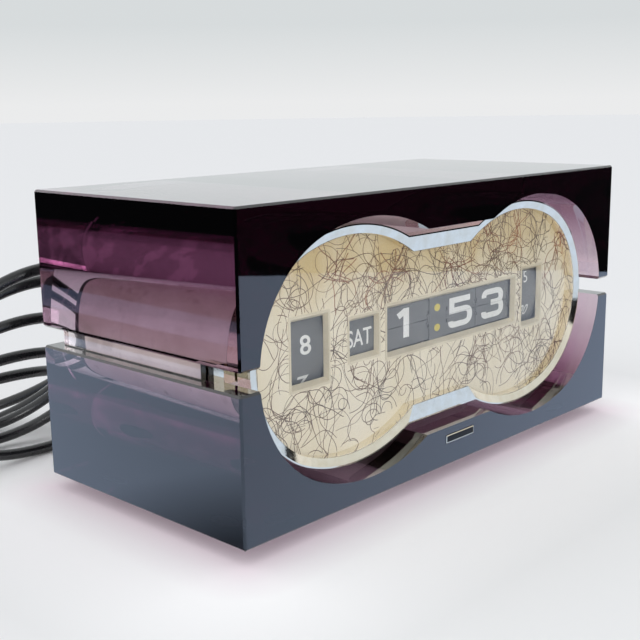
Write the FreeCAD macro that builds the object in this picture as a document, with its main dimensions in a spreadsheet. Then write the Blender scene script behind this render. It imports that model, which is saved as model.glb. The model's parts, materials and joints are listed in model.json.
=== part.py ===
import FreeCAD, Part
import math
import os
import re

from FreeCAD import Placement, Rotation, Vector

# A mains flip-number clock in a case of two clear purple acrylic blocks.
# Millimetres. X runs to the right along the front, Y to the back, Z up.
# The origin is on the table, under the middle of the case.

DIMENSIONS = {
    # case
    "case_width": 210,
    "case_depth": 100,
    "case_height": 100,
    "foot_height": 5,
    "foot_radius": 6,
    "foot_from_side": 25,
    "foot_from_front": 22,
    "seam_height": 6.6,
    "edge_chamfer": 0.7,
    "badge_width": 16.8,
    "badge_height": 3.2,
    "badge_depth": 0.8,
    "badge_level": 8.3,
    # figure-eight bore through the case: each lobe is a flat arch closed by an end arc
    "waist_half": 35.7,
    "lobe_centre": 48,
    "lobe_radius": 65.2,
    "lobe_drop": 22.7,
    "end_centre": 56.3,
    "end_radius": 41,
    # spacers in the seam
    "strip_outer": 101.5,
    "strip_width": 4,
    "strip_front": -29,
    "strip_back": 42.5,
    "spacer_inner": 92.5,
    "spacer_outer": 99,
    "spacer_front": -36.4,
    "spacer_depth": 6.7,
    # clock pod, as insets from the bore and depths along Y
    "ring_inset": 3,
    "ring_waist": 32.9,
    "rim_inset": 6.2,
    "rim_waist": 27.2,
    "ring_front": -42.6,
    "rim_front": -41.7,
    "lens_thickness": 0.8,
    "face_front": -37,
    "face_thickness": 1.4,
    "shell_inset": 3.2,
    "shell_waist": 32.5,
    "shell_wall": 2,
    "cover_front": 38,
    "cover_thickness": 2,
    # windows: low and high X, then half height
    "window_wall": 0.8,
    "window_taper": 1.3,
    "window_depth": 1.9,
    # drums
    "drum_radius": 26,
    "drum_wall": 1.2,
    "drum_axle_y": -9,
    "drum_axle_radius": 1.5,
    "running_gap": 0.05,
    # number leaves
    "leaf_axle_y": -29.1,
    "leaf_axle_radius": 1.5,
    "sleeve_radius": 2.6,
    "pin_circle": 5.6,
    "pin_radius": 0.35,
    "leaf_half_height": 7.4,
    "leaf_split": 0.15,
    "leaf_thickness": 0.25,
    "leaf_shoulder": 1.6,
    "disc_thickness": 0.7,
    "disc_radius": 5.75,
    # mechanism plates
    "plate_thickness": 1.2,
    "plate_half_height": 24,
    "plate_front": -33,
    "back_plate_y": 22,
    # gears
    "drive_module": 0.8,
    "train_module": 0.4,
    "fine_module": 0.28,
    "crown_module": 0.4,
    "crown_band": 1.2,
    "crown_height": 0.6,
    "gear_width": 0.8,
    # motor
    "motor_radius": 18,
    "motor_length": 8,
    "motor_shaft_radius": 1,
    # rear controls
    "knob_radius": 7,
    "knob_length": 6.5,
    "knob_front": 41.2,
    "set_shaft_radius": 1.5,
    "shaft_end": 44,
    "screw_radius": 1.5,
    "screw_head_radius": 2.8,
    # mains lead
    "cord_radius": 2.2,
    "relief_flange": 6.5,
    "relief_neck": 3.9,
    "relief_root": 4.8,
    "relief_tip": 2.9,
    "relief_end": 61,
    "coil_thickness": 16,
    "plug_length": 24,
    "plug_width": 20,
}

doc = FreeCAD.newDocument("flip_clock")
sheet = doc.addObject("Spreadsheet::Sheet", "Dims")
for row, (alias, number) in enumerate(DIMENSIONS.items(), start=1):
    sheet.set(f"A{row}", alias)
    sheet.set(f"B{row}", str(number))
    sheet.setAlias(f"B{row}", alias)
doc.recompute()

ALIAS = re.compile(r"\b(" + "|".join(DIMENSIONS) + r")\b")
nodes = []


def rule(text):
    """An expression in the sheet's aliases."""
    return ALIAS.sub(r"Dims.\1", str(text))


def dim(alias):
    """A driving dimension, read from the sheet."""
    return float(sheet.get(alias))


def bind(item, sizes, place, turn):
    item.Placement = Placement(Vector(), turn)
    for name, text in sizes.items():
        item.setExpression(name, rule(text))
    for axis, text in zip("xyz", place):
        item.setExpression(f".Placement.Base.{axis}", rule(text))
    return item


ALONG_X = Rotation(Vector(0, 1, 0), 90)
ALONG_Y = Rotation(Vector(1, 0, 0), -90)
ALONG_Z = Rotation()
MID = "(foot_height + case_height / 2)"


def box(name, low, size):
    item = doc.addObject("Part::Box", name)
    return bind(item, dict(zip(("Length", "Width", "Height"), size)), low, Rotation())


def cylinder(name, radius, length, start, turn=ALONG_X):
    """A cylinder from its start point along X, Y or Z."""
    item = doc.addObject("Part::Cylinder", name)
    return bind(item, {"Radius": radius, "Height": length}, start, turn)


def fuse(name, items):
    item = doc.addObject("Part::MultiFuse", name)
    item.Shapes = items
    item.Refine = True
    return item


def cut(name, base, tools):
    item = doc.addObject("Part::Cut", name)
    item.Base = base
    item.Tool = tools[0] if len(tools) == 1 else fuse(name + "_tools", tools)
    item.Refine = True
    return item


def group(name, items):
    """Several separate solids kept together as one sub-part."""
    item = doc.addObject("Part::Compound", name)
    item.Links = items
    return item


def feature(name, shape):
    item = doc.addObject("Part::Feature", name)
    item.Shape = shape
    return item


def node(label, item):
    item.Label = label
    nodes.append(item)
    return item


# ---------------------------------------------------------------- figure-eight outlines

def outline_points(inset, waist):
    """The corner, top and end points of one quarter of the outline, about the case's middle."""
    radius = dim("lobe_radius") - inset
    end = dim("end_radius") - inset
    corner_x = dim("lobe_centre") - math.sqrt(radius ** 2 - (waist + dim("lobe_drop")) ** 2)
    along_x = dim("end_centre") - dim("lobe_centre")
    length = math.hypot(along_x, dim("lobe_drop"))
    join_x = dim("end_centre") + end * along_x / length
    join_z = end * dim("lobe_drop") / length
    return {
        "corner": (corner_x, waist),
        "top": (dim("lobe_centre"), radius - dim("lobe_drop")),
        "join": (join_x, join_z),
        "end": (dim("end_centre") + end, 0),
    }


def outline(inset, waist, y):
    """A closed figure-eight wire in the plane at depth y."""
    middle = dim("foot_height") + dim("case_height") / 2
    quarter = outline_points(inset, waist)

    def at(name, side, up):
        x, z = quarter[name]
        return Vector(side * x, y, middle + up * z)

    edges = []
    for side, up in ((1, 1), (-1, -1)):
        edges += [
            Part.LineSegment(at("corner", -side, up), at("corner", side, up)),
            Part.Arc(at("corner", side, up), at("top", side, up), at("join", side, up)),
            Part.Arc(at("join", side, up), at("end", side, up), at("join", side, -up)),
            Part.Arc(at("join", side, -up), at("top", side, -up), at("corner", side, -up)),
        ]
    return Part.Wire([edge.toShape() for edge in edges])


def eight(inset, waist, low, high):
    """A figure-eight prism between two depths."""
    return Part.Face(outline(inset, waist, low)).extrude(Vector(0, high - low, 0))


# ---------------------------------------------------------------- case

def case():
    half = "(case_height - seam_height) / 2"
    depth = dim("case_depth") / 2
    bore = eight(0, dim("waist_half"), -depth - 1, depth + 1)
    low = ("-badge_width / 2 - 0.1", "-case_depth / 2", "foot_height + badge_level - 0.1")
    badge = box("badge_pocket", low, ("badge_width + 0.2", "badge_depth", "badge_height + 0.2"))
    for label, level, tools in (
        ("lower_case_block", "foot_height", [badge]),
        ("upper_case_block", f"foot_height + case_height - {half}", []),
    ):
        low = ("-case_width / 2", "-case_depth / 2", level)
        block = box(label + "_blank", low, ("case_width", "case_depth", half))
        doc.recompute()
        edged = doc.addObject("Part::Chamfer", label + "_edges")
        edged.Base = block
        chamfer = dim("edge_chamfer")
        edged.Edges = [(i + 1, chamfer, chamfer) for i in range(len(block.Shape.Edges))]
        bored = cut(label + "_bored", edged, [feature(label + "_bore", bore)])
        node(label, cut(label, bored, tools) if tools else bored)

    low = ("-badge_width / 2", "-case_depth / 2", "foot_height + badge_level")
    size = ("badge_width", "badge_depth", "badge_height")
    node("badge_plate", box("badge_plate", low, size))

    seam = f"foot_height + {half}"
    for name, strip_x, spacer_x in (
        ("right", "strip_outer - strip_width", "spacer_inner"),
        ("left", "-strip_outer", "-spacer_outer"),
    ):
        size = ("strip_width", "strip_back - strip_front", "seam_height")
        node(f"{name}_side_strip", box(f"{name}_side_strip", (strip_x, "strip_front", seam), size))
        size = ("spacer_outer - spacer_inner", "spacer_depth", "seam_height")
        node(f"{name}_spacer", box(f"{name}_spacer", (spacer_x, "spacer_front", seam), size))

    feet = []
    for i, (sx, sy) in enumerate(((1, 1), (1, -1), (-1, 1), (-1, -1))):
        place = (
            f"{sx} * (case_width / 2 - foot_from_side)",
            f"{sy} * (case_depth / 2 - foot_from_front)",
            "0",
        )
        feet.append(cylinder(f"foot_{i}", "foot_radius", "foot_height", place, ALONG_Z))
    node("rubber_feet", group("rubber_feet", feet))


# ---------------------------------------------------------------- pod: ring, lens, face, shell

WINDOWS = {
    # low X, high X, low and high Z from the case's middle
    "alarm": (-72.2, -55.1, -11.1, 11.7),
    "day": (-45, -30, -6.8, 7.6),
    "time": (-25.7, 53, -9, 9),
    "seconds": (58, 72, -12, 11.5),
}


def ring():
    """Bright bezel: a flat figure-eight ring whose front slopes down to its inner rim."""
    outer = eight(dim("ring_inset"), dim("ring_waist"), dim("ring_front"), dim("face_front"))
    inner = eight(dim("rim_inset"), dim("rim_waist"), dim("ring_front") - 1, dim("face_front") + 1)
    lip = 0.5
    slope = Part.makeLoft(
        [
            outline(dim("ring_inset") + lip, dim("ring_waist") - lip, dim("ring_front")),
            outline(dim("rim_inset"), dim("rim_waist"), dim("rim_front")),
        ],
        True,
        True,
    )
    return outer.cut(slope).cut(inner)


def pod():
    node("bezel_ring", feature("bezel_ring", ring()))

    clear = 0.1
    lens_front = dim("rim_front")
    lens = eight(
        dim("rim_inset") + clear,
        dim("rim_waist") - clear,
        lens_front,
        lens_front + dim("lens_thickness"),
    )
    node("front_lens", feature("front_lens", lens))

    face_front = dim("face_front")
    inset = dim("shell_inset") + dim("shell_wall") + clear
    waist = dim("shell_waist") - dim("shell_wall") - clear
    blank = feature("face_blank", eight(inset, waist, face_front, face_front + dim("face_thickness")))
    holes = []
    for name, (x0, x1, z0, z1) in WINDOWS.items():
        holes.append(window_box(name + "_hole", x0, x1, z0, z1, "window_wall + 0.05", 3))
        frame = window_box(name + "_border", x0, x1, z0, z1, "window_wall", "window_depth + 0.15")
        frame.setExpression(".Placement.Base.y", rule("face_front - 0.15"))
        node(f"{name}_window_frame", cut(f"{name}_window_frame", frame, [window_taper(name)]))
    node("face_plate", cut("face_plate", blank, holes))

    shell = eight(dim("shell_inset"), dim("shell_waist"), face_front, dim("cover_front"))
    wall = dim("shell_wall")
    hollow = eight(
        dim("shell_inset") + wall, dim("shell_waist") - wall, face_front - 1, dim("cover_front") + 1
    )
    tube = cut("shell_tube", feature("shell_outer", shell), [feature("shell_hollow", hollow)])
    slots = []
    for name, low in (("right", "spacer_inner - 1"), ("left", "-spacer_outer")):
        place = (low, "face_front - 1", f"{MID} - seam_height / 2 - 0.1")
        size = ("spacer_outer - spacer_inner + 1", "spacer_depth + 2", "seam_height + 0.2")
        slots.append(box(f"{name}_shell_slot", place, size))
    node("pod_shell", cut("pod_shell", tube, slots))


def window_box(name, x0, x1, z0, z1, border, depth):
    """A block that surrounds one window's opening by a border."""
    low = (f"{x0} - ({border})", "face_front - 1", f"{MID} + {z0} - ({border})")
    size = (f"{x1 - x0} + 2 * ({border})", depth, f"{z1 - z0} + 2 * ({border})")
    return box(name, low, size)


def window_taper(name):
    """The tapered opening through a window frame: wider at the front."""
    x0, x1, z0, z1 = WINDOWS[name]
    side = "window_taper / 3"
    item = doc.addObject("Part::Wedge", name + "_opening")
    sizes = {
        "Xmin": x0,
        "Xmax": x1,
        "Zmin": z0,
        "Zmax": z1,
        "X2min": f"{x0} + {side}",
        "X2max": f"{x1} - {side}",
        "Z2min": f"{z0} + window_taper",
        "Z2max": f"{z1} - window_taper",
        "Ymin": 0,
        "Ymax": "window_depth + 0.3",
    }
    return bind(item, sizes, (0, "face_front - 0.2", MID), Rotation())


# ---------------------------------------------------------------- gears

ADDENDUM = 0.9
DEDENDUM = 1.15


def gear_outline(teeth, module, tooth_at, centre):
    """The corner points of a spur gear with straight-sided teeth, in a plane of (u, v)."""
    pitch = module * teeth / 2
    outer = pitch + ADDENDUM * module
    root = pitch - DEDENDUM * module
    step = 2 * math.pi / teeth
    points = []
    for tooth in range(teeth):
        middle = tooth_at + tooth * step
        for radius, share in ((root, -0.34), (outer, -0.12), (outer, 0.12), (root, 0.34)):
            angle = middle + share * step
            u = centre[0] + radius * math.cos(angle)
            v = centre[1] + radius * math.sin(angle)
            points.append((u, v))
    return points


def gear(teeth, module, tooth_at, centre, start, width, bore, axis="x"):
    """A spur gear on an axis along X or Y; centre is (Y, Z) or (X, Z)."""
    points = gear_outline(teeth, module, tooth_at, centre)
    if axis == "x":
        corners = [Vector(start, u, v) for u, v in points]
        middle, along = Vector(start, *centre), Vector(1, 0, 0)
    else:
        corners = [Vector(u, start, v) for u, v in points]
        middle, along = Vector(centre[0], start, centre[1]), Vector(0, 1, 0)
    solid = Part.Face(Part.makePolygon(corners + corners[:1])).extrude(along * width)
    if bore:
        solid = solid.cut(Part.makeCylinder(bore, width, middle, along))
    return solid


def direction(here, there):
    return math.atan2(there[1] - here[1], there[0] - here[0])


def mesh_phase(tooth_at, teeth, here, there, other_teeth):
    """Where a tooth of the other gear points, so that it meshes with this one."""
    step = 2 * math.pi / teeth
    off = (tooth_at - direction(here, there)) % step
    return direction(there, here) - off * teeth / other_teeth + math.pi / other_teeth


def crown(centre, face):
    """Radial teeth on a disc's right face, with a gap towards the back."""
    pitch = crown_radius()
    band = dim("crown_band")
    root = 0.1
    step = 2 * math.pi / CROWN_TEETH
    thick = CROWN_TOOTH_SHARE * step * pitch
    y, z = centre
    ridges = []
    for tooth in range(CROWN_TEETH):
        ridge = Part.makeBox(dim("crown_height") + root, 2 * band, thick)
        ridge.translate(Vector(face - root, pitch - band, -thick / 2))
        ridge.rotate(Vector(), Vector(1, 0, 0), math.degrees((tooth + 0.5) * step))
        ridge.translate(Vector(0, y, z))
        ridges.append(ridge)
    return ridges


def crown_radius():
    return dim("crown_module") * CROWN_TEETH / 2


def set_shaft_x(name):
    """X of a setting shaft: its pinion's teeth reach into the crown's teeth."""
    tip = dim("crown_module") * (SET_PINION_TEETH / 2 + ADDENDUM)
    return CROWN_FACES[name] + tip + 0.1


SECONDS_TEETH = 48
MOTOR_TEETH = 12
SECONDS_PINION_TEETH = 12
TRANSFER_TEETH = 60
TRANSFER_PINION_TEETH = 20
IDLER_TEETH = 30
UNITS_TEETH = 40
CROWN_TEETH = 32
SET_PINION_TEETH = 8
CROWN_TOOTH_SHARE = 0.27
# X of the faces that carry crown teeth
CROWN_FACES = {"alarm": -54.5, "time": 20}


def centres():
    """The (Y, Z) centres of the train's axes."""
    middle = dim("foot_height") + dim("case_height") / 2
    drum = (dim("drum_axle_y"), middle)
    leaf = (dim("leaf_axle_y"), middle)
    reach = dim("drive_module") * (SECONDS_TEETH + MOTOR_TEETH) / 2
    motor = (drum[0] + reach, middle)
    first = dim("train_module") * (SECONDS_PINION_TEETH + TRANSFER_TEETH) / 2
    transfer = (drum[0] - 0.6 * first, middle - 0.8 * first)
    second = dim("fine_module") * (TRANSFER_PINION_TEETH + IDLER_TEETH) / 2
    third = dim("fine_module") * (IDLER_TEETH + UNITS_TEETH) / 2
    span = math.dist(transfer, leaf)
    along = (second ** 2 - third ** 2 + span ** 2) / (2 * span)
    aside = math.sqrt(second ** 2 - along ** 2)
    unit = ((leaf[0] - transfer[0]) / span, (leaf[1] - transfer[1]) / span)
    idler = (
        transfer[0] + along * unit[0] - aside * unit[1],
        transfer[1] + along * unit[1] + aside * unit[0],
    )
    return {"drum": drum, "leaf": leaf, "motor": motor, "transfer": transfer, "idler": idler}


# ---------------------------------------------------------------- drums and drum axle

DRUMS = {
    # low X, high X, side of the web
    "alarm": (-74, -54.5, "right"),
    "day": (-46.5, -29.4, "left"),
    "seconds": (57.6, 73, "right"),
}
DRUM_HUB = 4


def drum(name):
    """A number drum: thin rim, one web and a hub that runs or is fixed on the axle."""
    x0, x1, web_side = DRUMS[name]
    axle = ("drum_axle_y", MID)
    outer = cylinder(f"{name}_rim_outer", "drum_radius", x1 - x0, (x0, *axle))
    web = 1
    hollow_x = x0 - web if web_side == "right" else x0 + web
    hollow = cylinder(f"{name}_rim_hollow", "drum_radius - drum_wall", x1 - x0, (hollow_x, *axle))
    rim = cut(f"{name}_rim", outer, [hollow])
    hub = cylinder(f"{name}_hub", DRUM_HUB, x1 - x0, (x0, *axle))
    gap = 0 if name == "seconds" else "running_gap"
    bore = cylinder(f"{name}_bore", f"drum_axle_radius + {gap}", x1 - x0 + 2, (x0 - 1, *axle))
    return cut(f"{name}_drum_body", fuse(f"{name}_drum_blank", [rim, hub]), [bore])


PLATES = {
    "outer_left_plate": -78.2,
    "inner_left_plate": -28.8,
    "inner_right_plate": 54,
    "outer_right_plate": 76,
}


def drums():
    centre = centres()["drum"]
    alarm = drum("alarm")
    doc.recompute()
    teeth = crown(centre, CROWN_FACES["alarm"])
    node("alarm_drum", feature("alarm_drum", alarm.Shape.fuse(teeth)))
    node("day_drum", drum("day"))
    node("seconds_drum", drum("seconds"))

    start = PLATES["outer_left_plate"] - 1
    length = PLATES["outer_right_plate"] + 1.2 + 1 - start
    axle = cylinder("drum_axle", "drum_axle_radius", length, (start, "drum_axle_y", MID))
    node("drum_axle", axle)

    face = CROWN_FACES["time"]
    thick = 1.2
    start = Vector(face - thick, *centre)
    disc = Part.makeCylinder(crown_radius() + dim("crown_band"), thick, start, Vector(1, 0, 0))
    hole = Part.makeCylinder(dim("drum_axle_radius"), thick, start, Vector(1, 0, 0))
    toothed = disc.fuse(crown(centre, face)).cut(hole)
    node("setting_crown_gear", feature("setting_crown_gear", toothed))


# ---------------------------------------------------------------- gear train

def train():
    at = centres()
    axle = dim("drum_axle_radius")
    width = dim("gear_width")
    near, far = 55.4, 56.4
    to_motor = direction(at["drum"], at["motor"])
    seconds = gear(SECONDS_TEETH, dim("drive_module"), to_motor, at["drum"], 73.2, 1.6, axle)
    node("seconds_gear", feature("seconds_gear", seconds))
    phase = mesh_phase(to_motor, SECONDS_TEETH, at["drum"], at["motor"], MOTOR_TEETH)
    pinion = gear(MOTOR_TEETH, dim("drive_module"), phase, at["motor"], 73.2, 1.8, 0)
    shaft = Part.makeCylinder(
        dim("motor_shaft_radius"), 10, Vector(73.2, *at["motor"]), Vector(1, 0, 0)
    )
    node("motor_pinion", feature("motor_pinion", pinion.fuse(shaft)))

    to_transfer = direction(at["drum"], at["transfer"])
    small = gear(
        SECONDS_PINION_TEETH, dim("train_module"), to_transfer, at["drum"], far, width, axle
    )
    node("seconds_pinion", feature("seconds_pinion", small))

    phase = mesh_phase(
        to_transfer, SECONDS_PINION_TEETH, at["drum"], at["transfer"], TRANSFER_TEETH
    )
    stud = dim("motor_shaft_radius") + dim("running_gap")
    big = gear(TRANSFER_TEETH, dim("train_module"), phase, at["transfer"], far, width, 0)
    to_idler = direction(at["transfer"], at["idler"])
    step = gear(
        TRANSFER_PINION_TEETH, dim("fine_module"), to_idler, at["transfer"], near, far - near, 0
    )
    bore = Part.makeCylinder(
        stud, far - near + width, Vector(near, *at["transfer"]), Vector(1, 0, 0)
    )
    node("transfer_gear", feature("transfer_gear", big.fuse(step).cut(bore)))

    phase = mesh_phase(
        to_idler, TRANSFER_PINION_TEETH, at["transfer"], at["idler"], IDLER_TEETH
    )
    idler = gear(IDLER_TEETH, dim("fine_module"), phase, at["idler"], near, width, stud)
    node("idler_gear", feature("idler_gear", idler))

    phase = mesh_phase(phase, IDLER_TEETH, at["idler"], at["leaf"], UNITS_TEETH)
    sleeve_bore = dim("leaf_axle_radius") + dim("running_gap")
    units = gear(UNITS_TEETH, dim("fine_module"), phase, at["leaf"], near, width, sleeve_bore)
    start = MODULES["units"][1]
    base, along = Vector(start, *at["leaf"]), Vector(1, 0, 0)
    sleeve = Part.makeCylinder(dim("sleeve_radius"), near - start, base, along)
    bore = Part.makeCylinder(sleeve_bore, near - start, base, along)
    node("units_gear", feature("units_gear", units.fuse(sleeve.cut(bore))))


# ---------------------------------------------------------------- number leaves

MODULES = {
    # low X, high X, number of leaves
    "hour": (-25.2, 0.6, 12),
    "tens": (10.8, 29.6, 12),
    "units": (30, 52, 10),
}


# degrees that the last upper leaf leans back, and that a lower leaf trails its pin
LAST_LEAN = 60
TRAIL = 64


def leaf_lean(pin_angle, step):
    """How far a leaf leans back from upright; 180 hangs down."""
    if pin_angle < 180:
        return LAST_LEAN * (pin_angle - step / 2) / (180 - step)
    return min(180, pin_angle - 90 - TRAIL)


def leaf_shape(name, pin_angle, lean):
    """A leaf on two end pins, narrow between the wheel's discs and full width beyond them."""
    x0, x1, count = MODULES[name]
    at = centres()["leaf"]
    circle = dim("pin_circle")
    offset = circle * math.sin(math.pi / count)
    inner = offset - dim("leaf_split")
    outer = dim("leaf_half_height") - offset
    shoulder = dim("leaf_shoulder")
    thick = dim("leaf_thickness")
    side = dim("disc_thickness") + 0.2
    edge = 0.05
    along = Vector(1, 0, 0)
    plates = [
        (side, -inner, shoulder + inner),
        (edge, shoulder, outer - shoulder),
    ]
    shapes = []
    for margin, low, height in plates:
        start = Vector(x0 + margin, -thick / 2, low)
        shapes.append(Part.makeBox(x1 - x0 - 2 * margin, thick, height, start))
    pin_length = side + 0.4
    for start in (x0 + edge, x1 - edge - pin_length):
        shapes.append(Part.makeCylinder(dim("pin_radius"), pin_length, Vector(start, 0, 0), along))
    solid = shapes[0].fuse(shapes[1:]).removeSplitter()
    solid.rotate(Vector(), Vector(1, 0, 0), -lean)
    y = at[0] - circle * math.cos(math.radians(pin_angle))
    z = at[1] + circle * math.sin(math.radians(pin_angle))
    solid.translate(Vector(0, y, z))
    return solid


def leaf_module(name):
    x0, x1, count = MODULES[name]
    at = ("leaf_axle_y", MID)
    step = 360 / count
    hub = cylinder(f"{name}_hub", 3, x1 - x0, (x0, *at))
    discs = []
    for side, x in (("left", x0), ("right", f"{x1} - disc_thickness")):
        disc = cylinder(f"{name}_disc_{side}", "disc_radius", "disc_thickness", (x, *at))
        discs.append(disc)
    through = x1 - x0 + 2
    bore_radius = "leaf_axle_radius + running_gap"
    bore = cylinder(f"{name}_wheel_bore", bore_radius, through, (x0 - 1, *at))
    notches = []
    for k in range(count):
        angle = math.radians(step * (k + 0.5))
        place = (
            x0 - 1,
            f"leaf_axle_y - pin_circle * {math.cos(angle)}",
            f"{MID} + pin_circle * {math.sin(angle)}",
        )
        notch = cylinder(f"{name}_notch_{k}", "pin_radius + running_gap", through, place)
        notches.append(notch)
    blank = fuse(f"{name}_wheel_blank", [hub] + discs)
    node(f"{name}_wheel", cut(f"{name}_wheel", blank, [bore] + notches))

    shapes = []
    for k in range(1, count):
        pin_angle = step * (k + 0.5)
        shapes.append(leaf_shape(name, pin_angle, leaf_lean(pin_angle, step)))
    node(f"{name}_leaves", feature(f"{name}_leaves", Part.makeCompound(shapes)))
    falling = leaf_shape(name, step / 2, 0)
    node(f"{name}_falling_leaf", feature(f"{name}_falling_leaf", falling))


# ---------------------------------------------------------------- mechanism frame and motor

def mechanism():
    at = centres()
    thick = dim("plate_thickness")
    for label, x in PLATES.items():
        place = (x, "plate_front", f"{MID} - plate_half_height")
        size = ("plate_thickness", "back_plate_y - plate_front", "2 * plate_half_height")
        blank = box(label + "_blank", place, size)
        bores = [("drum_axle_radius + running_gap", "drum_axle_y", MID)]
        if label == "inner_right_plate":
            bores.append(("sleeve_radius + running_gap", "leaf_axle_y", MID))
        if label == "inner_left_plate":
            bores.append(("leaf_axle_radius", "leaf_axle_y", MID))
        if label == "outer_right_plate":
            bores.append(("motor_shaft_radius + running_gap", *at["motor"]))
        holes = []
        for i, (radius, y, z) in enumerate(bores):
            holes.append(cylinder(f"{label}_hole_{i}", radius, 4, (x - 1, y, z)))
        node(label, cut(label, blank, holes))

    low = PLATES["outer_left_plate"]
    high = PLATES["outer_right_plate"] + thick
    blank = box(
        "back_plate_blank",
        (low, "back_plate_y", f"{MID} - plate_half_height"),
        (high - low, "plate_thickness", "2 * plate_half_height"),
    )
    holes = []
    for name in CROWN_FACES:
        place = (set_shaft_x(name), "back_plate_y - 1", MID)
        radius = "set_shaft_radius + running_gap"
        holes.append(cylinder(f"{name}_back_hole", radius, 4, place, ALONG_Y))
    node("back_plate", cut("back_plate", blank, holes))

    start = PLATES["inner_left_plate"]
    axle = cylinder("leaf_axle", "leaf_axle_radius", 56.3 - start, (start, "leaf_axle_y", MID))
    node("leaf_axle", axle)
    studs = []
    stud_x = PLATES["inner_right_plate"] + thick
    for name, length in (("transfer", 2.1), ("idler", 1.05)):
        studs.append(cylinder(f"{name}_stud", "motor_shaft_radius", length, (stud_x, *at[name])))
    node("gear_studs", group("gear_studs", studs))

    strip = box("colon_strip", (0.8, -34.9, f"{MID} - 8.2"), (9.8, 1, 16.4))
    stem = box("colon_stem", (5.2, -34, f"{MID} + 4"), (1, 12, 4))
    arm = box("colon_arm", (-27.6, -22.5, f"{MID} + 14"), (81.6, 1.2, 5))
    post = box("colon_post", (5.2, -23, f"{MID} + 4"), (1, 1.5, 12))
    node("colon_plate", fuse("colon_plate", [strip, stem, post, arm]))

    y, z = at["motor"]
    x = PLATES["outer_right_plate"]
    body = cylinder("motor_can", "motor_radius", "motor_length", (x + thick, y, z))
    hole = cylinder("motor_bearing", "motor_shaft_radius + running_gap", 8, (x, y, z))
    node("motor_body", cut("motor_body", body, [hole]))

    coil = cylinder("buzzer_coil_body", 6, 14, (-20, 30, f"{MID} + 12"))
    core = cylinder("buzzer_core", 2, 18, (-22, 30, f"{MID} + 12"))
    foot = box("buzzer_foot", (-22, "back_plate_y + plate_thickness", f"{MID} + 4"), (2, 10, 14))
    node("buzzer_coil", fuse("buzzer_coil", [coil, core, foot]))


# ---------------------------------------------------------------- rear cover and controls

SWITCH_X = -18
# X and Z where the mains lead leaves the cover
RELIEF = (22, 34)
COVER_BACK = "cover_front + cover_thickness"


def rear():
    inset, waist = dim("shell_inset"), dim("shell_waist")
    front = dim("cover_front")
    blank = feature("cover_blank", eight(inset, waist, front, front + dim("cover_thickness")))
    holes = []
    for name in CROWN_FACES:
        place = (set_shaft_x(name), "cover_front - 1", MID)
        holes.append(cylinder(f"{name}_cover_hole", "set_shaft_radius + 0.3", 5, place, ALONG_Y))
    place = (RELIEF[0], "cover_front - 1", RELIEF[1])
    holes.append(cylinder("relief_hole", "relief_neck + 0.1", 5, place, ALONG_Y))
    place = (SWITCH_X - 6, "cover_front - 1", f"{MID} - 2.2")
    holes.append(box("switch_slot", place, (12, 5, 4.4)))
    for k in range(5):
        place = (66 - 12, "cover_front - 1", f"{MID} - 11 + {5 * k}")
        holes.append(box(f"vent_{k}", place, (24, 5, 2)))
    screws = []
    for i, (x, z) in enumerate(((-74, 24), (74, 24), (-74, -24), (74, -24))):
        level = f"{MID} + {z}"
        place = (x, "cover_front - 1", level)
        holes.append(cylinder(f"screw_hole_{i}", "screw_radius + 0.1", 5, place, ALONG_Y))
        place = (x, "cover_front - 5", level)
        stem = cylinder(f"screw_stem_{i}", "screw_radius", 8, place, ALONG_Y)
        place = (x, COVER_BACK, level)
        head = cylinder(f"screw_head_{i}", "screw_head_radius", 1.6, place, ALONG_Y)
        slot = box(f"screw_slot_{i}", (x - 3, COVER_BACK + " + 1", level + " - 0.4"), (6, 1, 0.8))
        screws.append(cut(f"screw_{i}", fuse(f"screw_blank_{i}", [stem, head]), [slot]))
    node("rear_cover", cut("rear_cover", blank, holes))
    node("rear_cover_screws", group("rear_cover_screws", screws))

    switch = box("switch_blank", (SWITCH_X - 9, "cover_front - 5", f"{MID} - 4"), (18, 5, 8))
    place = (SWITCH_X - 6, "cover_front - 3", f"{MID} - 2.2")
    pocket = box("switch_pocket", place, (12, 4, 4.4))
    node("alarm_switch_body", cut("alarm_switch_body", switch, [pocket]))
    place = (SWITCH_X - 5.5, "cover_front - 2.5", f"{MID} - 1.9")
    node("alarm_switch_button", box("switch_button", place, (5, 7.5, 3.8)))

    at = centres()["drum"]
    start = at[0] + crown_radius() - dim("crown_band")
    width = 2 * dim("crown_band") + 0.2
    length = dim("shaft_end") - start - width
    module = dim("crown_module")
    for name in CROWN_FACES:
        x = set_shaft_x(name)
        place = (x, at[1])
        pinion = gear(SET_PINION_TEETH, module, math.pi, place, start, width, 0, axis="y")
        base = Vector(x, start + width, at[1])
        shaft = Part.makeCylinder(dim("set_shaft_radius"), length, base, Vector(0, 1, 0))
        node(f"{name}_set_shaft", feature(f"{name}_set_shaft", pinion.fuse(shaft)))
        knob = knob_shape(x, dim("knob_front"), at[1])
        node(f"{name}_set_knob", feature(f"{name}_set_knob", knob))


def knob_shape(x, y, z):
    """A fluted knob with its blind bore facing the cover."""
    radius, length = dim("knob_radius"), dim("knob_length")
    flutes = 18
    solid = Part.makeCylinder(radius, length, Vector(x, y, z), Vector(0, 1, 0))
    for k in range(flutes):
        angle = 2 * math.pi * k / flutes
        centre = Vector(x + radius * math.cos(angle), y, z + radius * math.sin(angle))
        solid = solid.cut(Part.makeCylinder(0.7, length, centre, Vector(0, 1, 0)))
    depth = dim("shaft_end") - y
    bore = Part.makeCylinder(dim("set_shaft_radius"), depth, Vector(x, y, z), Vector(0, 1, 0))
    return solid.cut(bore)


# ---------------------------------------------------------------- mains lead

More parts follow.
